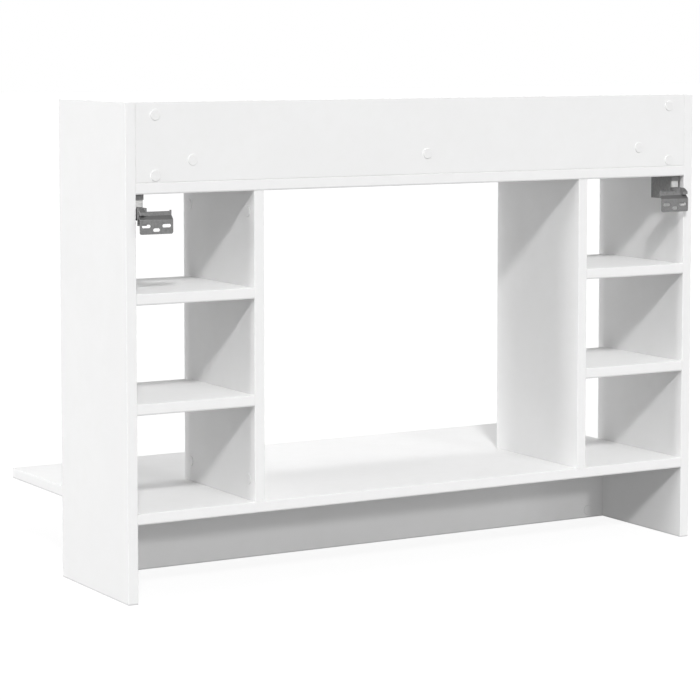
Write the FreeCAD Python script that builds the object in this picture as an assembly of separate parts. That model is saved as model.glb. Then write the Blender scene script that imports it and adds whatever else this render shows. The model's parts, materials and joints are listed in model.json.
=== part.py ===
import FreeCAD, Part
import os
from collections import defaultdict

# Wall-hung desk of white laminated boards: two full-height sides, a back rail over a top shelf,
# two dividers with three open cubbies on each side, a desk board that reaches forward past the
# sides, and an apron under it. Two adjustable steel hangers hook over plates on the wall.
# Millimetres, +Z up, +X to the right and -Y to the front as the user sees it. The origin is at
# the floor, in the middle of the width and of the depth from the desk's front to the wall.

V = FreeCAD.Vector
X_AXIS = V(1, 0, 0)
Y_AXIS = V(0, 1, 0)
Z_AXIS = V(0, 0, 1)

# How closely an edge has to follow an axis, or pass a spot, to be picked for rounding
PARALLEL = 0.99
SPOT_RUN = 0.05

# Driving dimensions of the boards
WIDTH = 1000.0
BOARD = 16.0
SIDE_DEPTH = 228.0
DESK_DEPTH = 455.0
CUBBY_WIDTH = 189.0
CUBBY_HEIGHT = 141.0
RAIL_HEIGHT = 114.0
SHELF_SETBACK = 15.0
EDGE_RADIUS = 0.8
WALL_GAP = 12.0

# Levels and planes that follow from them
Y_REAR = (DESK_DEPTH - WALL_GAP) / 2
Y_FRONT = Y_REAR - DESK_DEPTH
Y_SIDE_FRONT = Y_REAR - SIDE_DEPTH
X_OUTER = WIDTH / 2
X_INNER = X_OUTER - BOARD
X_DIVIDER = X_INNER - CUBBY_WIDTH
Z_DESK = RAIL_HEIGHT + BOARD
CUBBY_PITCH = CUBBY_HEIGHT + BOARD
Z_LOWER_SHELF = Z_DESK + CUBBY_PITCH
Z_UPPER_SHELF = Z_LOWER_SHELF + CUBBY_PITCH
Z_TOP_UNDERSIDE = Z_UPPER_SHELF + CUBBY_HEIGHT
Z_TOP_SHELF = Z_TOP_UNDERSIDE + BOARD
HEIGHT = Z_TOP_SHELF + RAIL_HEIGHT

# Cam-lock joints: a zinc disc in the board's face draws on a bolt screwed into the next board
CAM_INSET = 31.0
CAM_RADIUS = 7.4
CAM_THICKNESS = 11.5
CAM_SINK = 0.5
CAM_HOLE_RADIUS = 7.5
CAM_HOLE_DEPTH = 12.4
CAM_SLOT_RADIUS = 3.4
CAM_RECESS_RADIUS = 2.9
CAM_RECESS_DEPTH = 2.6
BOLT_HEAD_RADIUS = 3.0
BOLT_HEAD_LENGTH = 3.0
BOLT_NECK_RADIUS = 1.9
BOLT_COLLAR_RADIUS = 3.4
BOLT_COLLAR_LENGTH = 8.0
BOLT_THREAD_RADIUS = 2.5
BOLT_THREAD_LENGTH = 11.0
BOLT_CLEARANCE_RADIUS = 3.8
BOLT_PILOT_RADIUS = 2.6
BOLT_PILOT_DEPTH = 11.5
CAP_RADIUS = 8.0
CAP_THICKNESS = 1.1
CAP_ROUNDING = 0.7
CAP_STUB_RADIUS = 2.4
CAP_STUB_LENGTH = 2.0

# Beech dowels beside the cam locks
DOWEL_RADIUS = 4.0
DOWEL_CHAMFER = 0.8
DOWEL_IN_FACE = 10.5
DOWEL_IN_EDGE = 19.5
DOWEL_HOLE_RADIUS = 4.1
DOWEL_HOLE_SPARE = 0.5

# Where the joints lie, as distances behind the rear edges or along a joint
RAIL_END_HEIGHTS = (10.0, 96.0)
RAIL_DOWEL_HEIGHT = 53.0
RAIL_CAM_OFFSET = 394.0
RAIL_DOWEL_OFFSET = 200.0
APRON_END_HEIGHTS = (13.0, 96.0)
APRON_DOWEL_HEIGHT = 55.0
DIVIDER_CAMS = (21.0, 207.0)
DIVIDER_DOWEL = 114.0
WIDE_BOARD_CAMS = (45.0, 185.0)
WIDE_BOARD_DOWEL = 115.0
SHORT_SHELF_CAMS = (40.0, 173.0)
SHORT_SHELF_DOWEL = 106.0

# Hanger. Its parts are placed by u, from the side panel's inner face into the cubby,
# v, from the rear edges towards the wall, and the height z.
STEEL = 1.2
RUN = 0.08
HANGER_DEPTH = 17.0
HANGER_FRONT = -63.5
HANGER_REAR = -10.3
HANGER_TOP = Z_TOP_UNDERSIDE - 0.5
HANGER_BOTTOM = HANGER_TOP - 37.0
FLOOR_FLANGE_REAR = -14.0
WINDOW_FRONT = -13.5
WINDOW_BOTTOM = Z_TOP_UNDERSIDE - 24.0
WINDOW_TOP = Z_TOP_UNDERSIDE - 8.4
BEARING_WALL_FRONT = -58.1
BEARING_WALL_BOTTOM = Z_TOP_UNDERSIDE - 11.5
SCREW_U = 8.5
SCREW_RADIUS = 2.5
SCREW_TIP = -21.5
HEAD_RADIUS = 3.9
HEIGHT_SCREW_Z = Z_TOP_UNDERSIDE - 6.5
HEIGHT_HEAD_FRONT = -61.8
HEIGHT_HEAD_LENGTH = 3.3
DEPTH_SCREW_Z = Z_TOP_UNDERSIDE - 28.9
DEPTH_HEAD_FRONT = -57.5
DEPTH_HEAD_LENGTH = 3.7
LIFT_TRAVEL = 2.4
ACCESS_RADIUS = 3.0
CROSS_WIDTH = 1.1
CROSS_LENGTH = 4.8
CROSS_DEPTH = 1.6
FIXING_V = -58.0
FIXING_Z = Z_TOP_UNDERSIDE - 17.5
FIXING_HEAD_RADIUS = 3.3
FIXING_HEAD_HEIGHT = 1.6
FIXING_RADIUS = 2.0
FIXING_LENGTH = 13.0
PILOT_RUN = 0.1
PILOT_SHORTFALL = 0.5
STUD_PLACES = (-47.0, -22.0)
STUD_Z = Z_TOP_UNDERSIDE - 19.0
STUD_RADIUS = 4.9
STUD_LENGTH = 10.5
STUD_HOLE_RADIUS = 5.0
STUD_HOLE_DEPTH = 11.0
GAP = 0.3

# Lift block: a foot round the depth screw, a slope under the wedge nut, and the bright rear end
BLOCK_U = (2.2, 15.3)
BLOCK_FRONT = -53.5
BLOCK_FOOT_REAR = -48.5
BLOCK_FOOT_BOTTOM = DEPTH_SCREW_Z - 4.1
BLOCK_UNDERSIDE = DEPTH_SCREW_Z + 4.9
BLOCK_REAR = -11.8
BLOCK_RELIEF_FRONT = -19.0
BLOCK_STEP_FRONT = -24.5
BLOCK_STEP_REAR = -17.5
BLOCK_TOP = WINDOW_TOP + 0.5
WEDGE_SLOPE = 0.4
WEDGE_MIDDLE = -37.5
WEDGE_MIDDLE_Z = Z_TOP_UNDERSIDE - 17.0
WEDGE_HALF_LENGTH = 6.0
SLOPE_RUN = 14.0
ROOF_RUN = 0.4

# Hook arm: a bar with a threaded front end and a channel round the screw, then the hook, whose
# leg stands in front of the plate's lip and whose nose drops behind it
ARM_U = (1.6, 15.4)
ARM_FRONT = -43.5
ARM_HALF_HEIGHT = 4.6
ARM_TOP = Z_TOP_UNDERSIDE - 19.0
ARM_RISE_V = -14.5
ARM_REAR = 3.2
CHANNEL_U = (5.6, 11.4)
CHANNEL_V = (-31.5, -1.5)
CHANNEL_FLOOR = 1.5
LEG_FRONT = 0.5
LEG_DROP = 10.5
HOOK_U = (1.6, 10.0)
NOSE_DROP = 5.3
NOSE_SHOULDER = 1.0
NOSE_SLOPE_TOP = 2.6
HOOK_ROUNDING = 1.0
THREAD_OVERRUN = 1.0

# Wall plate: a lower flange with slots, a sloping ledge, and the lip that the arm hooks over
PLATE_U = (0.5, 52.5)
PLATE_STEEL = 1.5
PLATE_BOTTOM = Z_TOP_UNDERSIDE - 56.0
PLATE_BEND_LOW = Z_TOP_UNDERSIDE - 35.4
PLATE_BEND_HIGH = Z_TOP_UNDERSIDE - 29.9
PLATE_TOP = Z_TOP_UNDERSIDE - 24.0
LIP_REAR = 6.5
PLATE_CORNER = 3.0
BEND_OUTSIDE = 2.0
BEND_INSIDE = 0.6
BEND_OFFSET = 0.6
PLATE_TAB_WIDTH = 2.6
PLATE_TAB_HEIGHT = 1.5
PLATE_TAB_ROOT = 0.5
SLOT_WIDTH = 4.8
SLOT_LENGTH = 14.0
SLOT_SPACING = 32.0
SLOT_Z = Z_TOP_UNDERSIDE - 44.4
LOWER_SLOT_LENGTH = 11.0
LOWER_SLOT_Z = Z_TOP_UNDERSIDE - 50.0


def box(low, high):
    size = high - low
    return Part.makeBox(size.x, size.y, size.z, low)


def cylinder(start, direction, radius, length):
    return Part.makeCylinder(radius, length, start, direction)


def joined(shapes):
    return shapes[0].fuse(shapes[1:]).removeSplitter()


def board(low, high, butt_axis=None):
    """A board with softened edges; a board that butts at its ends keeps those ends square."""
    shape = box(low, high)
    edges = []
    for edge in shape.Edges:
        along = edge.tangentAt(edge.FirstParameter)
        if butt_axis is None or abs(along.dot(butt_axis)) > PARALLEL:
            edges.append(edge)
    return shape.makeFillet(EDGE_RADIUS, edges)


def make_boards():
    boards = {}
    for name, sign in (("left", -1), ("right", 1)):
        outer, inner = sorted((sign * X_OUTER, sign * X_INNER))
        boards["side_panel_" + name] = board(V(outer, Y_SIDE_FRONT, 0), V(inner, Y_REAR, HEIGHT))
        low, high = sorted((sign * X_DIVIDER, sign * (X_DIVIDER - BOARD)))
        boards["divider_" + name] = board(
            V(low, Y_SIDE_FRONT, Z_DESK), V(high, Y_REAR, Z_TOP_UNDERSIDE), Z_AXIS)
        low, high = sorted((sign * X_DIVIDER, sign * X_INNER))
        for level, top in (("lower", Z_LOWER_SHELF), ("upper", Z_UPPER_SHELF)):
            boards["short_shelf_" + level + "_" + name] = board(
                V(low, Y_SIDE_FRONT + SHELF_SETBACK, top - BOARD), V(high, Y_REAR, top), X_AXIS)
    boards["top_shelf"] = board(
        V(-X_INNER, Y_SIDE_FRONT, Z_TOP_UNDERSIDE), V(X_INNER, Y_REAR, Z_TOP_SHELF), X_AXIS)
    boards["back_rail"] = board(
        V(-X_INNER, Y_REAR - BOARD, Z_TOP_SHELF), V(X_INNER, Y_REAR, HEIGHT), X_AXIS)
    boards["desk_board"] = board(
        V(-X_INNER, Y_FRONT, Z_DESK - BOARD), V(X_INNER, Y_REAR, Z_DESK))
    boards["front_apron"] = board(
        V(-X_INNER, Y_SIDE_FRONT, 0), V(X_INNER, Y_SIDE_FRONT + BOARD, RAIL_HEIGHT), X_AXIS)
    return boards


def cam_lock(centre, inward, face):
    """The zinc disc, with a recess for its drive and a slot that takes the bolt's head."""
    mouth = centre + face * (BOARD / 2)
    disc = cylinder(mouth - face * CAM_SINK, -face, CAM_RADIUS, CAM_THICKNESS)
    recess = cylinder(mouth - face * CAM_SINK, -face, CAM_RECESS_RADIUS, CAM_RECESS_DEPTH)
    slot = cylinder(centre + inward * BOLT_HEAD_RADIUS, -inward, CAM_SLOT_RADIUS, 2 * CAM_RADIUS)
    return disc.cut([recess, slot])


def cam_bolt(foot, inward):
    """The steel bolt, from its thread in one board to its head at the middle of the cam."""
    thread = cylinder(foot - inward * BOLT_THREAD_LENGTH, inward, BOLT_THREAD_RADIUS, BOLT_THREAD_LENGTH)
    collar = cylinder(foot, inward, BOLT_COLLAR_RADIUS, BOLT_COLLAR_LENGTH)
    neck = cylinder(foot, inward, BOLT_NECK_RADIUS, CAM_INSET)
    head_start = foot + inward * (CAM_INSET - BOLT_HEAD_LENGTH / 2)
    head = cylinder(head_start, inward, BOLT_HEAD_RADIUS, BOLT_HEAD_LENGTH)
    return joined([thread, collar, neck, head])


def cover_cap(centre, face):
    """The white cap over a cam: a thin disc with a rounded rim and a stub in the cam's recess."""
    mouth = centre + face * (BOARD / 2)
    disc = cylinder(mouth, face, CAP_RADIUS, CAP_THICKNESS)
    rim = []
    for edge in disc.Edges:
        if edge.Length > CAP_RADIUS and edge.BoundBox.Center.distanceToPoint(mouth) > CAP_THICKNESS / 2:
            if len(edge.Vertexes) == 1:
                rim.append(edge)
    disc = disc.makeFillet(CAP_ROUNDING, rim)
    stub = cylinder(mouth, -face, CAP_STUB_RADIUS, CAP_STUB_LENGTH)
    return joined([disc, stub])


def dowel(foot, inward):
    peg = cylinder(foot - inward * DOWEL_IN_FACE, inward, DOWEL_RADIUS, DOWEL_IN_FACE + DOWEL_IN_EDGE)
    rims = [edge for edge in peg.Edges if len(edge.Vertexes) == 1]
    return peg.makeChamfer(DOWEL_CHAMFER, rims)


class Joinery:
    """Collects the fasteners of each board family, and the holes that they need in the boards."""

    def __init__(self):
        self.holes = defaultdict(list)
        self.pieces = defaultdict(list)

    def cam(self, family, receiver, abutter, foot, inward, face):
        centre = foot + inward * CAM_INSET
        mouth = centre + face * (BOARD / 2)
        self.holes[abutter].append(cylinder(mouth, -face, CAM_HOLE_RADIUS, CAM_HOLE_DEPTH))
        self.holes[abutter].append(cylinder(foot, inward, BOLT_CLEARANCE_RADIUS, CAM_INSET))
        self.holes[receiver].append(cylinder(foot, -inward, BOLT_PILOT_RADIUS, BOLT_PILOT_DEPTH))
        self.pieces["cam_locks_" + family].append(cam_lock(centre, inward, face))
        self.pieces["cam_bolts_" + family].append(cam_bolt(foot, inward))
        self.pieces["cover_caps_" + family].append(cover_cap(centre, face))

    def dowel(self, family, receiver, abutter, foot, inward):
        into_edge = DOWEL_IN_EDGE + DOWEL_HOLE_SPARE
        into_face = DOWEL_IN_FACE + DOWEL_HOLE_SPARE
        self.holes[abutter].append(cylinder(foot, inward, DOWEL_HOLE_RADIUS, into_edge))
        self.holes[receiver].append(cylinder(foot, -inward, DOWEL_HOLE_RADIUS, into_face))
        self.pieces["dowels_" + family].append(dowel(foot, inward))


def join_rail_and_apron(joinery):
    """Each hangs between the sides, and meets its wide board along one long edge."""
    rail_y = Y_REAR - BOARD / 2
    apron_y = Y_SIDE_FRONT + BOARD / 2
    for name, sign in (("left", -1), ("right", 1)):
        side = "side_panel_" + name
        for up in RAIL_END_HEIGHTS:
            foot = V(sign * X_INNER, rail_y, Z_TOP_SHELF + up)
            joinery.cam("back_rail", side, "back_rail", foot, X_AXIS * -sign, Y_AXIS)
        foot = V(sign * X_INNER, rail_y, Z_TOP_SHELF + RAIL_DOWEL_HEIGHT)
        joinery.dowel("back_rail", side, "back_rail", foot, X_AXIS * -sign)
        for up in APRON_END_HEIGHTS:
            foot = V(sign * X_INNER, apron_y, up)
            joinery.cam("front_apron", side, "front_apron", foot, X_AXIS * -sign, Y_AXIS)
        foot = V(sign * X_INNER, apron_y, APRON_DOWEL_HEIGHT)
        joinery.dowel("front_apron", side, "front_apron", foot, X_AXIS * -sign)
    for x in (-RAIL_CAM_OFFSET, 0.0, RAIL_CAM_OFFSET):
        joinery.cam("back_rail", "top_shelf", "back_rail", V(x, rail_y, Z_TOP_SHELF), Z_AXIS, Y_AXIS)
        joinery.cam("front_apron", "desk_board", "front_apron", V(x, apron_y, RAIL_HEIGHT), -Z_AXIS, Y_AXIS)
    for x in (-RAIL_DOWEL_OFFSET, RAIL_DOWEL_OFFSET):
        joinery.dowel("back_rail", "top_shelf", "back_rail", V(x, rail_y, Z_TOP_SHELF), Z_AXIS)
        joinery.dowel("front_apron", "desk_board", "front_apron", V(x, apron_y, RAIL_HEIGHT), -Z_AXIS)


def join_wide_boards(joinery):
    """The top shelf and the desk board run between the sides, with their cams underneath."""
    for name, sign in (("left", -1), ("right", 1)):
        side = "side_panel_" + name
        inward = X_AXIS * -sign
        for wide, top in (("top_shelf", Z_TOP_SHELF), ("desk_board", Z_DESK)):
            middle = top - BOARD / 2
            for back in WIDE_BOARD_CAMS:
                foot = V(sign * X_INNER, Y_REAR - back, middle)
                joinery.cam(wide, side, wide, foot, inward, -Z_AXIS)
            foot = V(sign * X_INNER, Y_REAR - WIDE_BOARD_DOWEL, middle)
            joinery.dowel(wide, side, wide, foot, inward)


def join_dividers(joinery):
    """Each divider stands between the desk board and the top shelf, its cams facing the cubbies."""
    for name, sign in (("left", -1), ("right", 1)):
        divider = "divider_" + name
        x = sign * (X_DIVIDER - BOARD / 2)
        for wide, z, inward in (("top_shelf", Z_TOP_UNDERSIDE, -Z_AXIS), ("desk_board", Z_DESK, Z_AXIS)):
            for back in DIVIDER_CAMS:
                foot = V(x, Y_REAR - back, z)
                joinery.cam("dividers", wide, divider, foot, inward, X_AXIS * sign)
            joinery.dowel("dividers", wide, divider, V(x, Y_REAR - DIVIDER_DOWEL, z), inward)


def join_short_shelves(joinery):
    for name, sign in (("left", -1), ("right", 1)):
        for level, top in (("lower", Z_LOWER_SHELF), ("upper", Z_UPPER_SHELF)):
            shelf = "short_shelf_" + level + "_" + name
            z = top - BOARD / 2
            ends = (("side_panel_" + name, X_INNER, -sign), ("divider_" + name, X_DIVIDER, sign))
            for receiver, x, way in ends:
                for back in SHORT_SHELF_CAMS:
                    foot = V(sign * x, Y_REAR - back, z)
                    joinery.cam("short_shelves", receiver, shelf, foot, X_AXIS * way, -Z_AXIS)
                foot = V(sign * x, Y_REAR - SHORT_SHELF_DOWEL, z)
                joinery.dowel("short_shelves", receiver, shelf, foot, X_AXIS * way)


def place(u, v, z):
    """A point of the right-hand hanger."""
    return V(X_INNER - u, Y_REAR + v, z)


def slab(u, v, z):
    """A block of the right-hand hanger between pairs of u, v and z."""
    return box(place(u[1], v[0], z[0]), place(u[0], v[1], z[1]))


def swept(u, outline):
    """An outline of (v, z) points, carried across the hanger between two values of u."""
    points = [place(u[1], v, z) for v, z in outline]
    face = Part.Face(Part.makePolygon(points + points[:1]))
    return face.extrude(X_AXIS * (u[1] - u[0]))


def edges_across(shape, spots):
    """The edges that run across the hanger through the given (v, z) spots."""
    found = []
    for edge in shape.Edges:
        middle = edge.BoundBox.Center
        if abs(edge.tangentAt(edge.FirstParameter).dot(X_AXIS)) < PARALLEL:
            continue
        for v, z in spots:
            if abs(middle.y - Y_REAR - v) < SPOT_RUN and abs(middle.z - z) < SPOT_RUN:
                found.append(edge)
    return found


def along_v(u, z, radius, start, end):
    return cylinder(place(u, start, z), Y_AXIS, radius, end - start)


def obround_v(u, z, width, length, start, end, upright=False):
    """A slot's volume through the sheet, level across the hanger or upright."""
    half = (length - width) / 2
    step = Z_AXIS * half if upright else X_AXIS * half
    middle = place(u, start, z)
    ends = [Part.makeCylinder(width / 2, end - start, middle + step * way, Y_AXIS) for way in (-1, 1)]
    if upright:
        core = slab((u - width / 2, u + width / 2), (start, end), (z - half, z + half))
    else:
        core = slab((u - half, u + half), (start, end), (z - width / 2, z + width / 2))
    return joined(ends + [core])


def screw_with_cross(z, head_front, head_length):
    """A machine screw along the depth, its cross recess facing the front of the desk."""
    head = along_v(SCREW_U, z, HEAD_RADIUS, head_front, head_front + head_length)
    shank = along_v(SCREW_U, z, SCREW_RADIUS, head_front + head_length, SCREW_TIP)
    deep = (head_front, head_front + CROSS_DEPTH)
    wide = (SCREW_U - CROSS_LENGTH / 2, SCREW_U + CROSS_LENGTH / 2)
    thin = (SCREW_U - CROSS_WIDTH / 2, SCREW_U + CROSS_WIDTH / 2)
    bars = [
        slab(wide, deep, (z - CROSS_WIDTH / 2, z + CROSS_WIDTH / 2)),
        slab(thin, deep, (z - CROSS_LENGTH / 2, z + CROSS_LENGTH / 2)),
    ]
    return joined([head, shank]).cut(bars)


def hanger_housing():
    """The pressed steel tray: base, two flanges, the height screw's bearing wall, and a tab at the rear."""
    inside = (STEEL, HANGER_DEPTH - STEEL)
    upright = (HANGER_BOTTOM + STEEL, HANGER_TOP - STEEL)
    base = slab((0, STEEL), (HANGER_FRONT, HANGER_REAR), (HANGER_BOTTOM, HANGER_TOP))
    roof = slab(inside, (HANGER_FRONT, HANGER_REAR), (HANGER_TOP - STEEL, HANGER_TOP))
    floor = slab(inside, (HANGER_FRONT, FLOOR_FLANGE_REAR), (HANGER_BOTTOM, HANGER_BOTTOM + STEEL))
    front = slab(inside, (HANGER_FRONT, HANGER_FRONT + STEEL), upright)
    bearing_span = (BEARING_WALL_FRONT, BEARING_WALL_FRONT + STEEL)
    bearing = slab(inside, bearing_span, (BEARING_WALL_BOTTOM, upright[1]))
    tab_span = (HANGER_REAR - STEEL, HANGER_REAR)
    rear_tab = slab(inside, tab_span, (WINDOW_TOP, upright[1]))
    tray = joined([base, roof, floor, front, bearing, rear_tab])
    front_span = (HANGER_FRONT - 1, HANGER_FRONT + STEEL + GAP)
    slot_height = 2 * (ACCESS_RADIUS + LIFT_TRAVEL)
    holes = [
        along_v(SCREW_U, HEIGHT_SCREW_Z, ACCESS_RADIUS, *front_span),
        obround_v(SCREW_U, DEPTH_SCREW_Z, 2 * ACCESS_RADIUS, slot_height, *front_span, upright=True),
        along_v(SCREW_U, HEIGHT_SCREW_Z, SCREW_RADIUS + RUN, bearing_span[0] - 1, bearing_span[1] + 1),
        cylinder(place(-1, FIXING_V, FIXING_Z), -X_AXIS, FIXING_RADIUS + GAP, STEEL + 2),
    ]
    return tray.cut(holes)


def hanger_cover():
    """The plate that closes the tray, notched at the rear beside the lift block and the arm."""
    u = (HANGER_DEPTH - STEEL, HANGER_DEPTH)
    plate = slab(u, (HANGER_FRONT, HANGER_REAR), (HANGER_BOTTOM, HANGER_TOP))
    window = slab((u[0] - 1, u[1] + 1), (WINDOW_FRONT, HANGER_REAR + 1), (WINDOW_BOTTOM, WINDOW_TOP))
    return plate.cut(window)


def hanger_studs():
    """Two knurled studs on the back of the tray, pressed into the side panel."""
    studs = []
    for v in STUD_PLACES:
        stud = cylinder(place(0, v, STUD_Z), X_AXIS, STUD_RADIUS, STUD_LENGTH)
        tip = [edge for edge in stud.Edges if edge.BoundBox.XMin > X_INNER + STUD_LENGTH - SPOT_RUN]
        studs.append(stud.makeChamfer(DOWEL_CHAMFER, tip))
    return studs


def hanger_fixing_screw():
    head = cylinder(place(STEEL, FIXING_V, FIXING_Z), -X_AXIS, FIXING_HEAD_RADIUS, FIXING_HEAD_HEIGHT)
    shank = cylinder(place(STEEL, FIXING_V, FIXING_Z), X_AXIS, FIXING_RADIUS, FIXING_LENGTH)
    return joined([head, shank])


def lift_block():
    """The bright block that carries the arm. The wedge nut bears on its slope to lower it."""
    slope_low = WEDGE_MIDDLE_Z - WEDGE_SLOPE * SLOPE_RUN
    slope_high = WEDGE_MIDDLE_Z + WEDGE_SLOPE * (BLOCK_STEP_FRONT - WEDGE_MIDDLE)
    outline = [
        (BLOCK_FRONT, BLOCK_FOOT_BOTTOM),
        (BLOCK_FOOT_REAR, BLOCK_FOOT_BOTTOM),
        (BLOCK_FOOT_REAR, BLOCK_UNDERSIDE),
        (BLOCK_RELIEF_FRONT, BLOCK_UNDERSIDE),
        (BLOCK_RELIEF_FRONT, ARM_TOP + GAP),
        (BLOCK_REAR, ARM_TOP + GAP),
        (BLOCK_REAR, BLOCK_TOP),
        (BLOCK_STEP_REAR, BLOCK_TOP),
        (BLOCK_STEP_REAR, slope_high),
        (BLOCK_STEP_FRONT, slope_high),
        (WEDGE_MIDDLE - SLOPE_RUN, slope_low),
        (BLOCK_FRONT, slope_low),
    ]
    bore = along_v(SCREW_U, DEPTH_SCREW_Z, SCREW_RADIUS + RUN, BLOCK_FRONT - 1, BLOCK_FOOT_REAR + 1)
    return swept(BLOCK_U, outline).cut(bore)


def wedge_nut():
    """The nut that the height screw moves to and fro under the tray's roof."""
    run = WEDGE_SLOPE * WEDGE_HALF_LENGTH
    front = WEDGE_MIDDLE - WEDGE_HALF_LENGTH
    rear = WEDGE_MIDDLE + WEDGE_HALF_LENGTH
    top = HANGER_TOP - STEEL - ROOF_RUN
    outline = [
        (front, WEDGE_MIDDLE_Z - run + GAP),
        (rear, WEDGE_MIDDLE_Z + run + GAP),
        (rear, top),
        (front, top),
    ]
    bore = along_v(SCREW_U, HEIGHT_SCREW_Z, SCREW_RADIUS + RUN, front - 1, rear + 1)
    return swept(BLOCK_U, outline).cut(bore)


def hook_arm():
    """The arm: a threaded end, a channel round the screw, and the hook that drops behind the lip."""
    low = DEPTH_SCREW_Z - ARM_HALF_HEIGHT
    high = DEPTH_SCREW_Z + ARM_HALF_HEIGHT
    throat = PLATE_TOP + GAP
    behind_lip = LIP_REAR + GAP
    nose_rear = WALL_GAP - GAP
    body_outline = [
        (ARM_FRONT, low),
        (LEG_FRONT, low),
        (LEG_FRONT, low - LEG_DROP),
        (ARM_REAR, low - LEG_DROP),
        (ARM_REAR, ARM_TOP),
        (ARM_RISE_V, ARM_TOP),
        (ARM_RISE_V, high),
        (ARM_FRONT, high),
    ]
    nose_outline = [
        (nose_rear, throat - NOSE_SHOULDER),
        (behind_lip, throat + NOSE_SLOPE_TOP),
    ]
    hook_outline = [
        (LEG_FRONT, throat),
        (behind_lip, throat),
        (behind_lip, throat - NOSE_DROP),
        (nose_rear, throat - NOSE_DROP),
        *nose_outline,
        (ARM_REAR, ARM_TOP),
        (LEG_FRONT, ARM_TOP),
    ]
    channel = slab(CHANNEL_U, CHANNEL_V, (low + CHANNEL_FLOOR, ARM_TOP + 1))
    thread = (ARM_FRONT - THREAD_OVERRUN, CHANNEL_V[0] + THREAD_OVERRUN)
    bore = along_v(SCREW_U, DEPTH_SCREW_Z, SCREW_RADIUS + RUN, *thread)
    hook = swept(HOOK_U, hook_outline)
    hook = hook.makeFillet(HOOK_ROUNDING, edges_across(hook, nose_outline))
    return joined([swept(ARM_U, body_outline), hook]).cut([channel, bore])


def wall_plate():
    """The steel plate that is screwed to the wall, bent so that its lip stands clear of it."""
    front = WALL_GAP - PLATE_STEEL
    lip_front = LIP_REAR - PLATE_STEEL
    outline = [
        (WALL_GAP, PLATE_BOTTOM),
        (WALL_GAP, PLATE_BEND_LOW),
        (LIP_REAR, PLATE_BEND_HIGH),
        (LIP_REAR, PLATE_TOP),
        (lip_front, PLATE_TOP),
        (lip_front, PLATE_BEND_HIGH - BEND_OFFSET),
        (front, PLATE_BEND_LOW - BEND_OFFSET),
        (front, PLATE_BOTTOM),
    ]
    plate = swept(PLATE_U, outline)
    plate = plate.makeFillet(BEND_OUTSIDE, edges_across(plate, [outline[1], outline[5]]))
    plate = plate.makeFillet(BEND_INSIDE, edges_across(plate, [outline[2], outline[6]]))
    corners = []
    for edge in plate.Edges:
        middle = edge.BoundBox.Center
        upright = abs(edge.tangentAt(edge.FirstParameter).dot(Y_AXIS)) > PARALLEL
        if upright and abs(middle.z - PLATE_BOTTOM) < SPOT_RUN:
            corners.append(edge)
    plate = plate.makeFillet(PLATE_CORNER, corners)
    tab = slab((PLATE_U[1] - PLATE_TAB_WIDTH, PLATE_U[1]), (lip_front, LIP_REAR),
               (PLATE_TOP - PLATE_TAB_ROOT, PLATE_TOP + PLATE_TAB_HEIGHT))
    middle_u = sum(PLATE_U) / 2
    through = (front - 1, WALL_GAP + 1)
    slots = [obround_v(middle_u + way * SLOT_SPACING / 2, SLOT_Z, SLOT_WIDTH, SLOT_LENGTH, *through)
             for way in (-1, 1)]
    slots.append(obround_v(middle_u, LOWER_SLOT_Z, SLOT_WIDTH, LOWER_SLOT_LENGTH, *through))
    return joined([plate, tab]).cut(slots)


def make_hangers(joinery):
    """Both hangers, mirror images of each other, and their holes in the side panels."""
    parts = {
        "hanger_housing": [hanger_housing()],
        "hanger_cover": [hanger_cover()],
        "hanger_studs": hanger_studs(),
        "hanger_fixing_screw": [hanger_fixing_screw()],
        "height_screw": [screw_with_cross(HEIGHT_SCREW_Z, HEIGHT_HEAD_FRONT, HEIGHT_HEAD_LENGTH)],
        "depth_screw": [screw_with_cross(DEPTH_SCREW_Z, DEPTH_HEAD_FRONT, DEPTH_HEAD_LENGTH)],
        "wedge_nut": [wedge_nut()],
        "lift_block": [lift_block()],
        "hook_arm": [hook_arm()],
        "wall_plate": [wall_plate()],
    }
    holes = [cylinder(place(0, v, STUD_Z), X_AXIS, STUD_HOLE_RADIUS, STUD_HOLE_DEPTH) for v in STUD_PLACES]
    pilot_start = place(0, FIXING_V, FIXING_Z)
    pilot_depth = FIXING_LENGTH - PILOT_SHORTFALL
    holes.append(cylinder(pilot_start, X_AXIS, FIXING_RADIUS + PILOT_RUN, pilot_depth))
    mirror_plane = (V(0, 0, 0), X_AXIS)
    for name, solids in parts.items():
        joinery.pieces[name + "_right"] = solids
        joinery.pieces[name + "_left"] = [solid.mirror(*mirror_plane) for solid in solids]
    joinery.holes["side_panel_right"] += holes
    joinery.holes["side_panel_left"] += [hole.mirror(*mirror_plane) for hole in holes]


def export(name, solids):
    shape = solids[0] if len(solids) == 1 else Part.makeCompound(solids)
    shape.exportStep("parts/" + name + ".step")


def main():
    os.makedirs("parts", exist_ok=True)
    joinery = Joinery()
    join_rail_and_apron(joinery)
    join_wide_boards(joinery)
    join_dividers(joinery)
    join_short_shelves(joinery)
    make_hangers(joinery)
    for name, shape in make_boards().items():
        drilled = shape.cut(joinery.holes[name])
        export(name, [drilled])
    for name, solids in joinery.pieces.items():
        export(name, solids)


main()
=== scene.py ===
import json
import math

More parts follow.
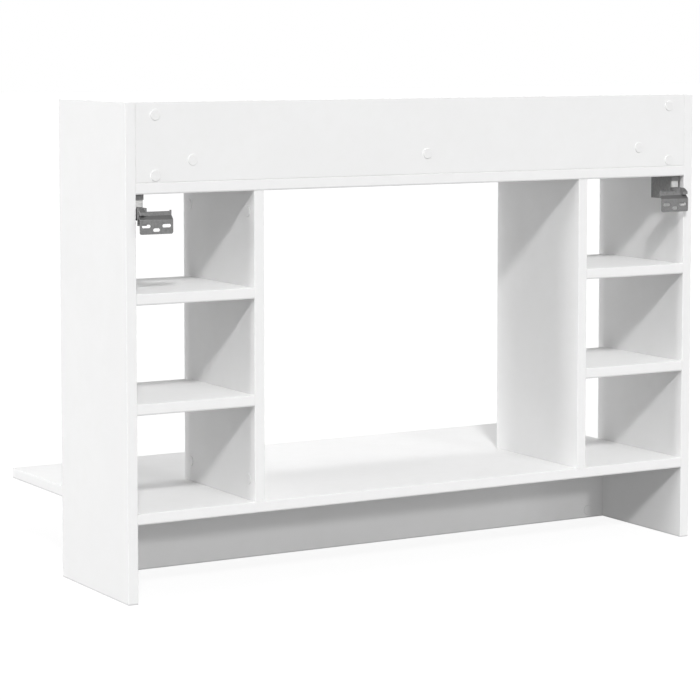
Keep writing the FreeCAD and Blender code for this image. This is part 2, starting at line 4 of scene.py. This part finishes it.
import bpy
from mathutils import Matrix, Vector


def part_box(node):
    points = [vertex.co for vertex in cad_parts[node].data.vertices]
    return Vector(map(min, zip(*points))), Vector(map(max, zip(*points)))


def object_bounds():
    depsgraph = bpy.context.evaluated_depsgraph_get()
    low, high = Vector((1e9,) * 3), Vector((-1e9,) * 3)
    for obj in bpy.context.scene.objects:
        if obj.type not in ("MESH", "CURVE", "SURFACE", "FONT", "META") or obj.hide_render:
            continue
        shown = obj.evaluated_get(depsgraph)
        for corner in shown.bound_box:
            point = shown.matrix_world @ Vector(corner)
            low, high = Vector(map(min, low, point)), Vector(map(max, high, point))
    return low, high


# Wall-hung desk of white laminated boards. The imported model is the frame; this script adds the
# materials, soft edges on the hangers, the floor, the lights and the camera. Metres, row frame.

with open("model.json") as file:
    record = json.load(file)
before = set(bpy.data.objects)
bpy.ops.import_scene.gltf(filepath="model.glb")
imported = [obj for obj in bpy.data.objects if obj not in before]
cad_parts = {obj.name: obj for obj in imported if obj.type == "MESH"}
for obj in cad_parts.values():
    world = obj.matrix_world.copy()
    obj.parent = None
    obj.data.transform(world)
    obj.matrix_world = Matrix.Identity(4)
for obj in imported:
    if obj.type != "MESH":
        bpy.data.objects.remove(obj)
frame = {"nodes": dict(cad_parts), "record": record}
cad_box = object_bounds()
nodes = frame["nodes"]
MM = 0.001

# Boards that stand on another board, so that their lower edge is a joint and not a free edge
STANDING_BOARDS = ("back_rail", "divider_left", "divider_right")
# Hanger parts given a lighter copy of the hanger steel: painted light on their shaded faces
TRAYS = ("hanger_housing", "hanger_cover")

# Camera: the photograph's view, from behind and a little to the desk's right. Azimuth from +Y
# towards +X; the aim is measured from the middle of the desk.
CAMERA_AZIMUTH = math.radians(30.4)
CAMERA_ELEVATION = math.radians(4.7)
CAMERA_DISTANCE = 4.015
CAMERA_AIM = Vector((-0.0015, -0.011, 0.120))
CAMERA_LENS = 130.3
CAMERA_SHIFT_Y = -0.15
CAMERA_REACH = 100.0

# Soft lights of a packshot studio, as suns: azimuth from +Y towards +X, elevation and angular size
# in degrees, then the brightness that each gives a white face turned to it
SUNS = {
    "key": (25.5, 35.8, 6.0, 0.50),
    "low_rear": (-8.0, 18.6, 4.0, 0.15),
    "overhead": (180.0, 87.0, 7.0, 0.10),
    "side_strip": (90.0, 6.0, 14.0, 0.24),
    "side_box": (88.0, 12.0, 10.0, 0.20),
    "side_wrap": (90.0, 5.0, 50.0, 0.20),
    "side_front": (112.0, 4.0, 12.0, 0.03),
    "front_wash": (180.0, 10.0, 40.0, 0.30),
    "front_strip": (180.0, 2.0, 10.0, 0.30),
    "left_strip": (270.0, 4.0, 14.0, 0.42),
    "front_high": (220.0, 40.0, 40.0, 0.15),
    "rear_high": (0.0, 60.0, 50.0, 0.16),
    "rear_strip": (0.0, 10.0, 14.0, 0.06),
    "rear_left": (-30.0, 10.0, 20.0, 0.08),
    "ceiling": (0.0, 88.0, 40.0, 0.05),
}
LIGHT_DISTANCE = 5.0

# Surroundings: even light from the room, the floor's bounce, and the floor as the camera sees it
AMBIENT = 0.15
FLOOR_SIZE = 60.0
FLOOR_GLOW = 0.30
FLOOR_WHITE = 0.88
FLOOR_SHADED = 0.16

# Laminate greys, from the darker to the lighter, and its marks
PAPER_GREYS = (0.880, 0.892)
PAPER_CLOUD = (0.874, 0.873, 0.868, 1.0)
BAND_GREYS = (0.902, 0.892)
BAND_JOINT_GREY = 0.72
WORN_COLOUR = (0.74, 0.73, 0.70, 1.0)
# painted shade: the grey of the darker line along free lower edges, standing in for their shaded
# arris
LOWER_EDGE_PAINTED_SHADE_GREY = 0.64
LAMINATE_ROUGHNESS = (0.62, 0.74)
WORN_ROUGHENING = 0.12
SCUFF_POLISH = 0.06

# Laminate distances: the large faces' depth, the joint line of the edge bands, how fast wear fades
# away from an edge (per metre), and where the painted shade of a free lower edge starts and ends
FACE_DEPTH = 0.4 * MM
BAND_JOINT_INSET = 1.2 * MM
BAND_JOINT_WIDTH = 0.35 * MM
WEAR_FADE = 260.0
LOWER_EDGE = (1.0 * MM, 2.8 * MM)

# Metals and plastic
SPANGLE_GREY = 0.6
# painted shade: how much darker the steel is painted on sloped faces such as the wall plate's ledge
BEND_PAINTED_SHADE = 0.55
CAST_CLOUD = 0.82
CAP_GREY = 0.878
CAP_DUST = (0.862, 0.860, 0.853, 1.0)
# painted shade: the grey of the cap's rim, painted darker to tone down the light it catches
CAP_RIM_PAINTED_SHADE_GREY = 0.73

# Beech, from pale to dark
BEECH_PALE = (0.70, 0.50, 0.31, 1.0)
BEECH_RING = (0.56, 0.37, 0.21, 1.0)
BEECH_FLECK = (0.36, 0.21, 0.11, 1.0)

# Hanger edges
WELD_DISTANCE = 0.001 * MM
EDGE_SOFTNESS = 0.18 * MM
SOFT_EDGE_ANGLE = math.radians(40)


class Shader:
    """Builds one material's node tree, a short call for each node."""

    def __init__(self, name):
        self.material = bpy.data.materials.new(name)
        self.material.use_nodes = True
        self.tree = self.material.node_tree
        self.tree.nodes.clear()
        self.surface = self.node("ShaderNodeBsdfPrincipled")
        self.output = self.node("ShaderNodeOutputMaterial")
        self.tree.links.new(self.surface.outputs["BSDF"], self.output.inputs["Surface"])
        coordinates = self.node("ShaderNodeTexCoord").outputs
        self.place = coordinates["Object"]
        self.facing = coordinates["Normal"]

    def node(self, kind, **settings):
        made = self.tree.nodes.new(kind)
        for key, value in settings.items():
            setattr(made, key, value)
        return made

    def feed(self, socket, value):
        """Links a socket to another node's output, or sets it to a constant."""
        if isinstance(value, bpy.types.NodeSocket):
            self.tree.links.new(value, socket)
        else:
            socket.default_value = value

    def math(self, operation, a, b=0.0):
        made = self.node("ShaderNodeMath", operation=operation)
        self.feed(made.inputs[0], a)
        self.feed(made.inputs[1], b)
        return made.outputs[0]

    def vector(self, operation, a, b=(0.0, 0.0, 0.0)):
        made = self.node("ShaderNodeVectorMath", operation=operation)
        self.feed(made.inputs[0], a)
        self.feed(made.inputs[1], b)
        return made.outputs["Vector"]

    def split(self, vector):
        made = self.node("ShaderNodeSeparateXYZ")
        self.feed(made.inputs[0], vector)
        return made.outputs

    def noise(self, scale, detail, stretch=(1.0, 1.0, 1.0)):
        """Soft noise, scale patches to the metre."""
        made = self.node("ShaderNodeTexNoise")
        self.feed(made.inputs["Vector"], self.vector("MULTIPLY", self.place, stretch))
        made.inputs["Scale"].default_value = scale
        made.inputs["Detail"].default_value = detail
        return made.outputs["Fac"]

    def cells(self, scale, stretch=(1.0, 1.0, 1.0)):
        """Small cells, scale of them to the metre: the distance to the nearest cell's middle."""
        made = self.node("ShaderNodeTexVoronoi", feature="F1")
        self.feed(made.inputs["Vector"], self.vector("MULTIPLY", self.place, stretch))
        made.inputs["Scale"].default_value = scale
        return made.outputs["Distance"]

    def span(self, value, low, high, out_low=0.0, out_high=1.0):
        """Maps low..high smoothly to out_low..out_high."""
        made = self.node("ShaderNodeMapRange", interpolation_type="SMOOTHSTEP")
        for socket, number in zip(made.inputs, (value, low, high, out_low, out_high)):
            self.feed(socket, number)
        return made.outputs[0]

    def mix(self, share, a, b):
        """Colour a, with a share of colour b."""
        made = self.node("ShaderNodeMix", data_type="RGBA")
        self.feed(made.inputs["Factor"], share)
        self.feed(made.inputs["A"], a)
        self.feed(made.inputs["B"], b)
        return made.outputs["Result"]

    def bump(self, *layers):
        """Layers of (height, distance in metres), one over the other."""
        normal = None
        for height, distance in layers:
            made = self.node("ShaderNodeBump")
            made.inputs["Distance"].default_value = distance
            self.feed(made.inputs["Height"], height)
            if normal is not None:
                self.feed(made.inputs["Normal"], normal)
            normal = made.outputs["Normal"]
        self.feed(self.surface.inputs["Normal"], normal)

    def set(self, **values):
        for name, value in values.items():
            self.feed(self.surface.inputs[name.replace("_", " ")], value)


def grey(level):
    return (level, level, level, 1.0)


def scaled(colour, factor):
    return tuple(channel * factor for channel in colour[:3]) + (1.0,)


def edge_distance(shader, low, high):
    """For a board that fills the box from low to high: how far a point of its skin is from the
    nearest edge, and whether it is on one of the two large faces."""
    middle = (low + high) / 2
    half = (high - low) / 2
    offset = shader.vector("SUBTRACT", shader.place, tuple(middle))
    x, y, z = shader.split(shader.vector("SUBTRACT", tuple(half), shader.vector("ABSOLUTE", offset)))
    small = shader.math("MINIMUM", x, y)
    large = shader.math("MAXIMUM", x, y)
    edge = shader.math("MAXIMUM", small, shader.math("MINIMUM", large, z))
    thin = min(range(3), key=lambda axis: half[axis])
    on_face = shader.math("LESS_THAN", (x, y, z)[thin], FACE_DEPTH)
    return edge, on_face


def lower_edge_shade(shader, low):
    """The share of painted shade along a board's free lower edge, on its upright faces only."""
    upright = shader.math("LESS_THAN", shader.math("ABSOLUTE", shader.split(shader.facing)[2]), 0.5)
    above = shader.math("SUBTRACT", shader.split(shader.place)[2], low.z)
    return shader.math("MULTIPLY", upright, shader.span(above, *LOWER_EDGE, 0.8, 0.0))


def laminate(name):
    """White laminate with glued edge bands: paper faces, fine joints, pores, scuffs, edge wear and
    painted shade along free lower edges.
    """
    shader = Shader("laminate_" + name)
    low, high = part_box(name)
    edge, on_face = edge_distance(shader, low, high)

    mottle = shader.noise(9.0, 3.0)
    cloud = shader.noise(55.0, 4.0)
    pearl = shader.noise(900.0, 2.0)
    pores = shader.cells(650.0)
    scuffs = shader.noise(70.0, 5.0, stretch=(1.0, 1.0, 9.0))
    patches = shader.noise(160.0, 4.0)
    near_edge = shader.math("SUBTRACT", patches, shader.math("MULTIPLY", edge, WEAR_FADE))
    wear = shader.span(near_edge, 0.32, 0.56)
    off_joint = shader.math("ABSOLUTE", shader.math("SUBTRACT", edge, BAND_JOINT_INSET))
    joint = shader.math("MULTIPLY", on_face, shader.span(off_joint, 0.0, BAND_JOINT_WIDTH, 1.0, 0.0))

    paper = shader.mix(shader.span(mottle, 0.35, 0.65), *map(grey, PAPER_GREYS))
    paper = shader.mix(shader.span(cloud, 0.4, 0.75, 0.0, 0.5), paper, PAPER_CLOUD)
    band = shader.mix(shader.span(cloud, 0.3, 0.7), *map(grey, BAND_GREYS))
    colour = shader.mix(on_face, band, paper)
    colour = shader.mix(shader.math("MULTIPLY", joint, 0.45), colour, grey(BAND_JOINT_GREY))
    colour = shader.mix(shader.math("MULTIPLY", wear, 0.22), colour, WORN_COLOUR)
    # Painted shade along the free lower edge of a board that doesn't stand on another
    if name not in STANDING_BOARDS:
        colour = shader.mix(lower_edge_shade(shader, low), colour, grey(LOWER_EDGE_PAINTED_SHADE_GREY))

    worn = shader.math("MULTIPLY", wear, WORN_ROUGHENING)
    rough = shader.math("ADD", shader.span(cloud, 0.3, 0.7, *LAMINATE_ROUGHNESS), worn)
    rough = shader.math("SUBTRACT", rough, shader.span(scuffs, 0.58, 0.72, 0.0, SCUFF_POLISH))
    shader.set(Base_Color=colour, Roughness=rough, IOR=1.46, Specular_IOR_Level=0.13)
    shader.bump(
        (shader.math("ADD", pearl, shader.math("MULTIPLY", pores, 0.6)), 0.03 * MM),
        (mottle, 0.10 * MM),
        (shader.math("SUBTRACT", 1.0, joint), 0.05 * MM),
    )
    return shader.material


def steel(name, tint, rough, metal=1.0, painted_bend_shade=False):
    """Pressed or turned steel with a zinc coat: drawn grain, fine clouds and a few dull spots, and if
    asked, painted shade on faces sloped between level and upright.
    """
    shader = Shader(name)
    grain = shader.noise(900.0, 3.0, stretch=(1.0, 1.0, 14.0))
    cloud = shader.noise(240.0, 5.0)
    spangle = shader.cells(900.0)
    spots = shader.noise(520.0, 4.0)
    darker = scaled(tint, 0.8)
    colour = shader.mix(shader.span(cloud, 0.32, 0.7), tint, darker)
    colour = shader.mix(shader.span(spangle, 0.1, 0.7, 0.0, 0.12), colour, grey(SPANGLE_GREY))
    colour = shader.mix(shader.span(spots, 0.62, 0.72, 0.0, 0.4), colour, darker)
    # Painted shade: faces that slope between level and upright, such as bends and ledges, are painted
    # darker
    if painted_bend_shade:
        facing = shader.split(shader.facing)
        upward = shader.math("ABSOLUTE", facing[2])
        rearward = shader.math("ABSOLUTE", facing[1])
        tilt = shader.math("MINIMUM", upward, rearward)
        colour = shader.mix(shader.span(tilt, 0.25, 0.55), colour, scaled(tint, BEND_PAINTED_SHADE))
    grain_rough = shader.span(grain, 0.3, 0.7, rough - 0.06, rough + 0.06)
    roughness = shader.math("ADD", grain_rough, shader.span(cloud, 0.4, 0.7, 0.0, 0.08))
    shader.set(Base_Color=colour, Metallic=metal, Roughness=roughness)
    shader.bump((grain, 0.02 * MM), (spots, 0.03 * MM))
    return shader.material


def cast_zinc(name, tint, metal=1.0):
    """Die-cast zinc: a fine sandy skin with soft clouds."""
    shader = Shader(name)
    sand = shader.noise(1500.0, 3.0)
    cloud = shader.noise(160.0, 4.0)
    colour = shader.mix(shader.span(cloud, 0.3, 0.7), tint, scaled(tint, CAST_CLOUD))
    shader.set(Base_Color=colour, Metallic=metal, Roughness=shader.span(sand, 0.3, 0.7, 0.32, 0.46))
    shader.bump((sand, 0.04 * MM), (cloud, 0.05 * MM))
    return shader.material


def cap_plastic():
    """White moulded plastic with a faint texture, clouds of dust, and painted shade on its rounded
    rim.
    """
    shader = Shader("cap_plastic")
    texture = shader.noise(2200.0, 2.0)
    cloud = shader.noise(260.0, 4.0)
    colour = shader.mix(shader.span(cloud, 0.35, 0.7), grey(CAP_GREY), CAP_DUST)
    facing = shader.split(shader.facing)
    sideways = shader.math("ABSOLUTE", facing[0])
    lengthways = shader.math("ABSOLUTE", facing[1])
    flat = shader.math("MAXIMUM", sideways, lengthways)
    # Painted shade: the rounded rim, where the normal leaves the cap's face, is painted darker
    colour = shader.mix(shader.span(flat, 0.75, 0.98, 1.0, 0.0), colour, grey(CAP_RIM_PAINTED_SHADE_GREY))
    shader.set(Base_Color=colour, Roughness=shader.span(texture, 0.3, 0.7, 0.30, 0.42), IOR=1.5)
    shader.bump((texture, 0.015 * MM), (cloud, 0.05 * MM))
    return shader.material


def beech():
    """Plain beech: pale brown with short dark flecks along the grain."""
    shader = Shader("beech")
    rings = shader.noise(160.0, 4.0, stretch=(1.0, 1.0, 0.25))
    flecks = shader.cells(700.0, stretch=(1.0, 1.0, 0.3))
    colour = shader.mix(shader.span(rings, 0.3, 0.7), BEECH_PALE, BEECH_RING)
    colour = shader.mix(shader.span(flecks, 0.05, 0.2, 0.5, 0.0), colour, BEECH_FLECK)
    shader.set(Base_Color=colour, Roughness=shader.span(rings, 0.3, 0.7, 0.55, 0.7))
    shader.bump((rings, 0.08 * MM), (flecks, 0.05 * MM))
    return shader.material


def paint(name, material):
    """Gives a CAD node its material in every slot."""
    for slot in nodes[name].material_slots:
        slot.material = material


def paint_everything():
    """One laminate for each board, and one shared material for each kind of fitting."""
    shared = {
        "cap_plastic": cap_plastic(),
        "cam_zinc": cast_zinc("cam_zinc", (0.55, 0.55, 0.56, 1.0)),
        "bolt_steel": steel("bolt_steel", (0.62, 0.61, 0.58, 1.0), 0.34),
        "beech": beech(),
        "hanger_steel": steel("hanger_steel", grey(0.215), 0.45, metal=0.15, painted_bend_shade=True),
        # painted light: the same steel, painted lighter for the housings and covers
        "tray_steel_painted_lighter": steel("tray_steel_painted_lighter", grey(0.265), 0.45, metal=0.15),
        "block_zinc": cast_zinc("block_zinc", (0.74, 0.74, 0.73, 1.0), metal=0.4),
        "screw_steel": steel("screw_steel", (0.60, 0.60, 0.58, 1.0), 0.32),
    }
    for part in frame["record"]["subparts"]:
        name = part["node"]
        slot = part["material_slot"]
        if slot == "white_laminate":
            paint(name, laminate(name))
        # Painted light: housings and covers get the lighter copy of the hanger steel
        elif name.startswith(TRAYS):
            paint(name, shared["tray_steel_painted_lighter"])
        else:
            paint(name, shared[slot])


def smooth_edges():
    """Softens the edges of the hangers' metal nodes."""
    for part in frame["record"]["subparts"]:
        if part["material_slot"] in ("hanger_steel", "block_zinc"):
            shape = nodes[part["node"]]
            weld = shape.modifiers.new("weld", "WELD")
            weld.merge_threshold = WELD_DISTANCE
            bevel = shape.modifiers.new("bevel", "BEVEL")
            bevel.width = EDGE_SOFTNESS
            bevel.segments = 2
            bevel.limit_method = "ANGLE"
            bevel.angle_limit = SOFT_EDGE_ANGLE
            bevel.harden_normals = True


def direction(azimuth, elevation):
    """The unit vector towards a light or the camera: azimuth from +Y towards +X."""
    level = math.cos(elevation)
    return Vector((math.sin(azimuth) * level, math.cos(azimuth) * level, math.sin(elevation)))


def place(name, data, towards, location):
    """Adds a light or a camera that looks back along the direction it is seen in."""
    holder = bpy.data.objects.new(name, data)
    holder.location = location
    holder.rotation_euler = towards.to_track_quat("Z", "Y").to_euler()
    bpy.context.scene.collection.objects.link(holder)
    return holder


def camera_switch(tree, others, camera):
    """Joins two shaders so that the camera sees one and every other ray meets the other."""
    path = tree.nodes.new("ShaderNodeLightPath")
    switch = tree.nodes.new("ShaderNodeMixShader")
    tree.links.new(path.outputs["Is Camera Ray"], switch.inputs["Fac"])
    tree.links.new(others, switch.inputs[1])
    tree.links.new(camera, switch.inputs[2])
    return switch.outputs["Shader"]


def make_floor():
    """A pale floor: plain white with faint shadows to the camera, and a dim bounce to the desk."""
    bpy.ops.mesh.primitive_plane_add(size=FLOOR_SIZE, location=(0.0, 0.0, 0.0))
    floor = bpy.context.object
    floor.name = "studio_floor"
    shader = Shader("studio_floor")
    cloud = shader.noise(1.5, 3.0)
    shaded = shader.mix(cloud, grey(FLOOR_SHADED), grey(FLOOR_SHADED * 1.03))
    shader.set(Base_Color=shaded, Roughness=0.9, Specular_IOR_Level=0.0)
    shader.set(Emission_Color=grey(1.0), Emission_Strength=FLOOR_WHITE)
    bounce = shader.node("ShaderNodeEmission")
    bounce.inputs["Strength"].default_value = FLOOR_GLOW
    joined = camera_switch(shader.tree, bounce.outputs[0], shader.surface.outputs["BSDF"])
    shader.tree.links.new(joined, shader.output.inputs["Surface"])
    floor.data.materials.append(shader.material)


def make_world():
    """Even light all round, and a white backdrop to the camera."""
    world = bpy.data.worlds.new("studio")
    world.use_nodes = True
    tree = world.node_tree
    ambient = tree.nodes["Background"]
    ambient.inputs["Color"].default_value = grey(1.0)
    ambient.inputs["Strength"].default_value = AMBIENT
    backdrop = tree.nodes.new("ShaderNodeBackground")
    backdrop.inputs["Color"].default_value = grey(1.0)
    joined = camera_switch(tree, ambient.outputs[0], backdrop.outputs[0])
    tree.links.new(joined, tree.nodes["World Output"].inputs["Surface"])
    bpy.context.scene.world = world
    bpy.context.scene.view_settings.view_transform = "Standard"


def make_lights():
    for name, (azimuth, elevation, size, brightness) in SUNS.items():
        light = bpy.data.lights.new("sun_" + name, "SUN")
        light.energy = brightness * math.pi
        light.angle = math.radians(size)
        towards = direction(math.radians(azimuth), math.radians(elevation))
        place("sun_" + name, light, towards, towards * LIGHT_DISTANCE)


def make_camera():
    camera = bpy.data.cameras.new("camera")
    camera.lens = CAMERA_LENS
    camera.sensor_width = 36.0
    camera.shift_y = CAMERA_SHIFT_Y
    camera.clip_end = CAMERA_REACH
    towards = direction(CAMERA_AZIMUTH, CAMERA_ELEVATION)
    low, high = cad_box
    aim = (low + high) / 2 + CAMERA_AIM
    bpy.context.scene.camera = place("camera", camera, towards, aim + towards * CAMERA_DISTANCE)


paint_everything()
smooth_edges()
make_floor()
make_world()
make_lights()
make_camera()
